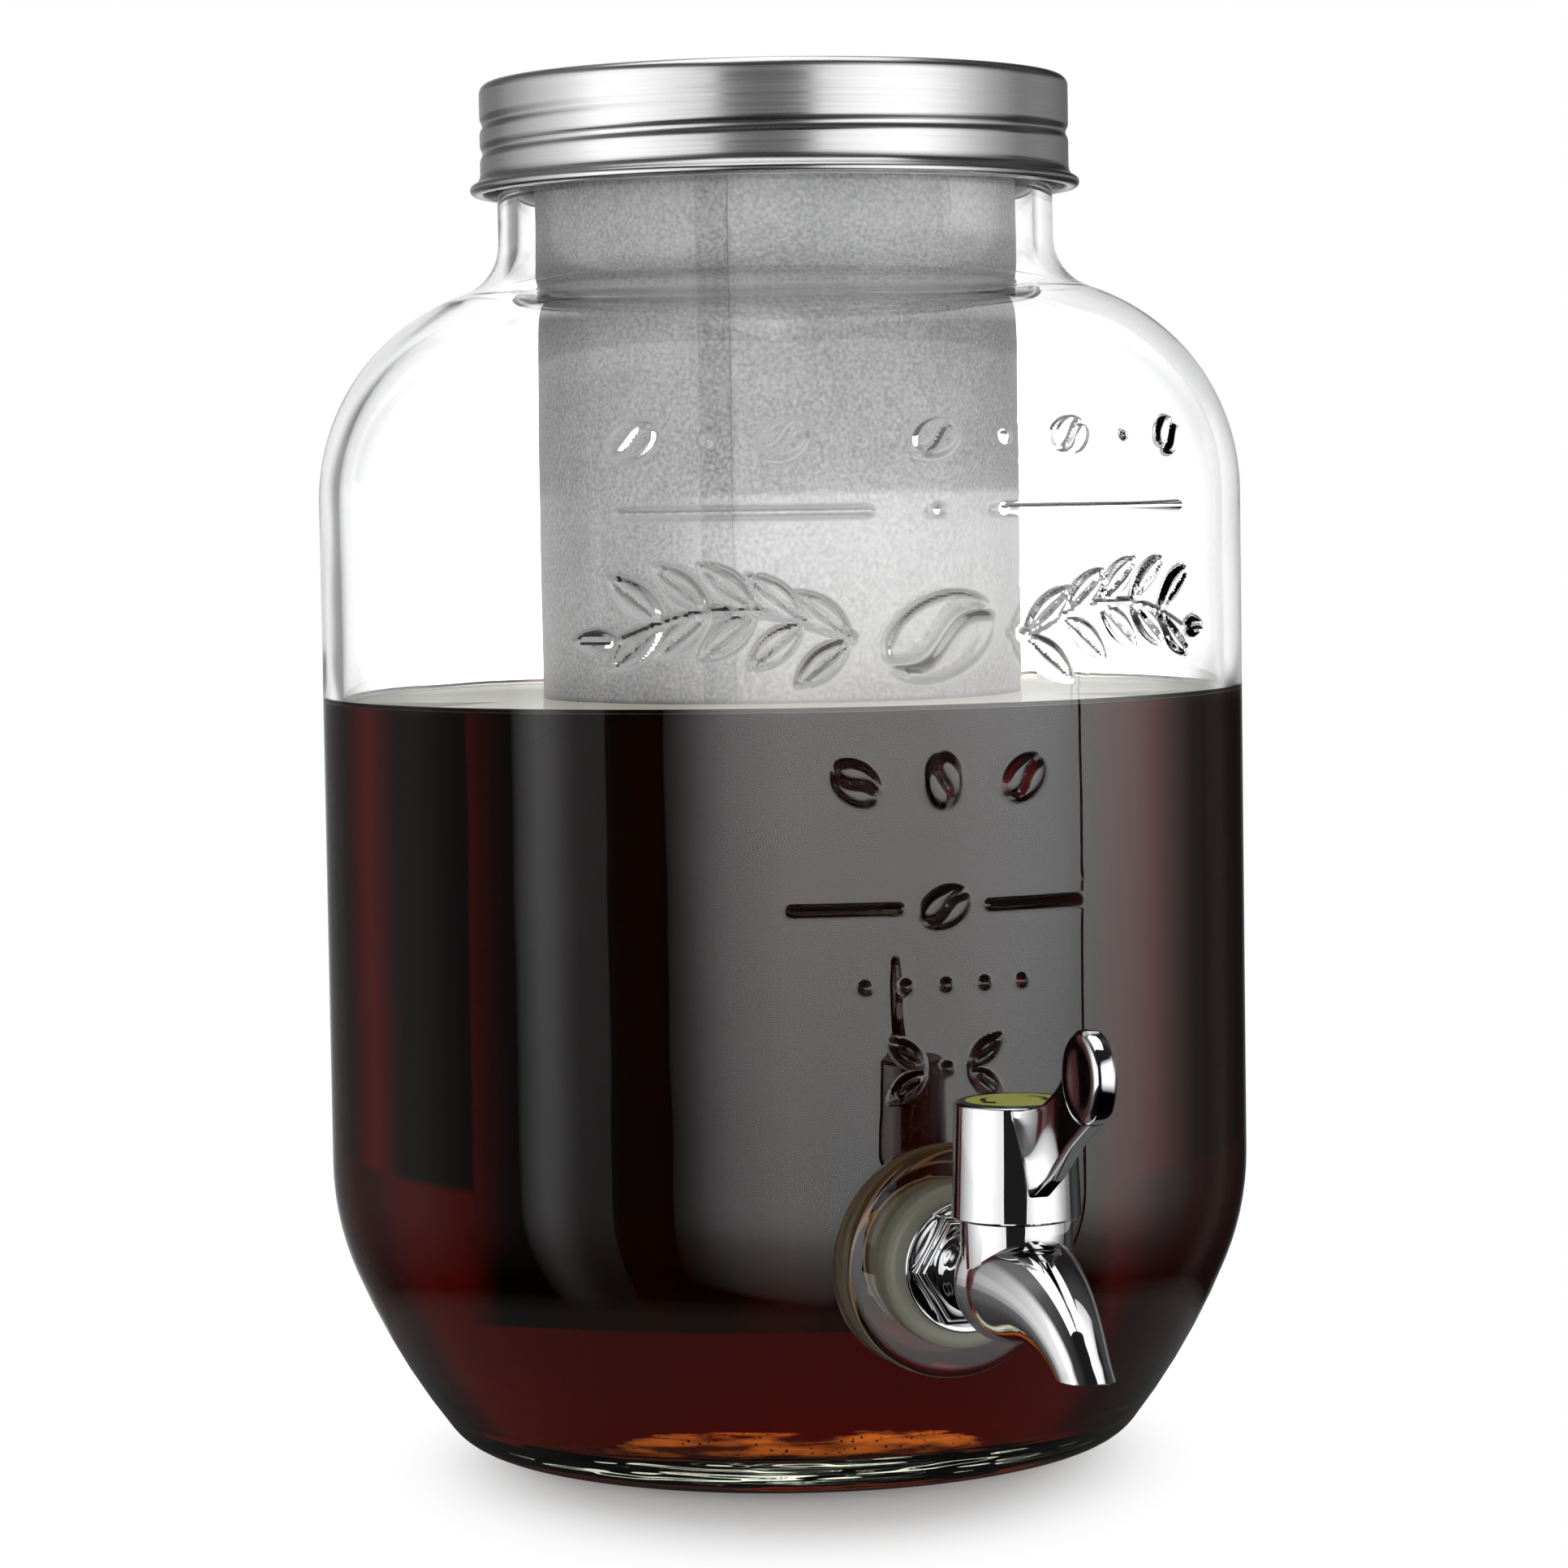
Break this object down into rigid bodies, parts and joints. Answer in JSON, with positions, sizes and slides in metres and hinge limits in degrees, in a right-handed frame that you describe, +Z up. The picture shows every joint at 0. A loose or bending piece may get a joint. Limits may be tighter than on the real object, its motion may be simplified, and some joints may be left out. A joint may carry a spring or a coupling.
{
  "type": "cold brew coffee maker",
  "caption": "Glass beverage jar with a screw-on steel lid, a hanging mesh brewing filter and a chromed lever tap near the foot.",
  "frame": {"origin": "centre of the jar's foot, on the plane that it stands on", "axes": "+Z up along the jar's axis, -Y the way the tap points, +X to the right seen from the front"},
  "size_m": [0.1668, 0.2369, 0.2464],
  "materials": {
    "glass": "polished",
    "lid_steel": "satin",
    "liner_plastic": "matte",
    "gasket_silicone": "matte",
    "filter_steel": "satin",
    "filter_mesh": "matte",
    "washer_silicone": "satin",
    "nut_plastic": "matte",
    "chrome": "polished",
    "valve_plastic": "satin",
    "valve_rubber": "matte",
    "screw_steel": "satin",
    "insert_plastic": "gloss",
    "label_film": "satin",
    "coffee": "polished"
  },
  "bodies": {
    "jar": {"glass_front": "glass", "glass_back": "glass", "glass_bottom": "glass", "outer_washer": "washer_silicone", "inner_washer": "washer_silicone", "nut_washer": "nut_plastic", "lock_nut": "nut_plastic", "tap_body": "chrome", "valve_sleeve": "valve_rubber", "stem_bush": "valve_plastic"},
    "filter": {"filter_collar": "filter_steel", "filter_mesh_sleeve": "filter_mesh", "filter_seam_strip": "filter_mesh", "filter_bottom_band": "filter_steel", "filter_bottom_mesh": "filter_mesh"},
    "lid_seal": {"lid_liner": "liner_plastic", "lid_gasket": "gasket_silicone"},
    "lid": {"lid_shell": "lid_steel"},
    "tap_handle": {"handle_cap": "chrome", "valve_plug": "valve_plastic", "lower_o_ring": "valve_rubber", "upper_o_ring": "valve_rubber", "handle_screw": "screw_steel", "cap_insert": "insert_plastic", "handle_label": "label_film"}
  },
  "joints": [
    {"name": "filter_lift", "type": "slide", "parent": "jar", "child": "filter", "axis": [0, 0, 1], "range_m": [0, 0.215]},
    {"name": "lid_lift", "type": "slide", "parent": "filter", "child": "lid_seal", "axis": [0, 0, 1], "range_m": [0, 0.06]},
    {"name": "lid_turn", "type": "hinge", "parent": "lid_seal", "child": "lid", "pos_m": [0, 0, 0.24], "axis": [0, 0, 1], "range_deg": [0, 400]},
    {"name": "tap_handle_turn", "type": "hinge", "parent": "jar", "child": "tap_handle", "pos_m": [0, -0.1143, 0.065], "axis": [0, 0, 1], "range_deg": [0, 90]}
  ]
}
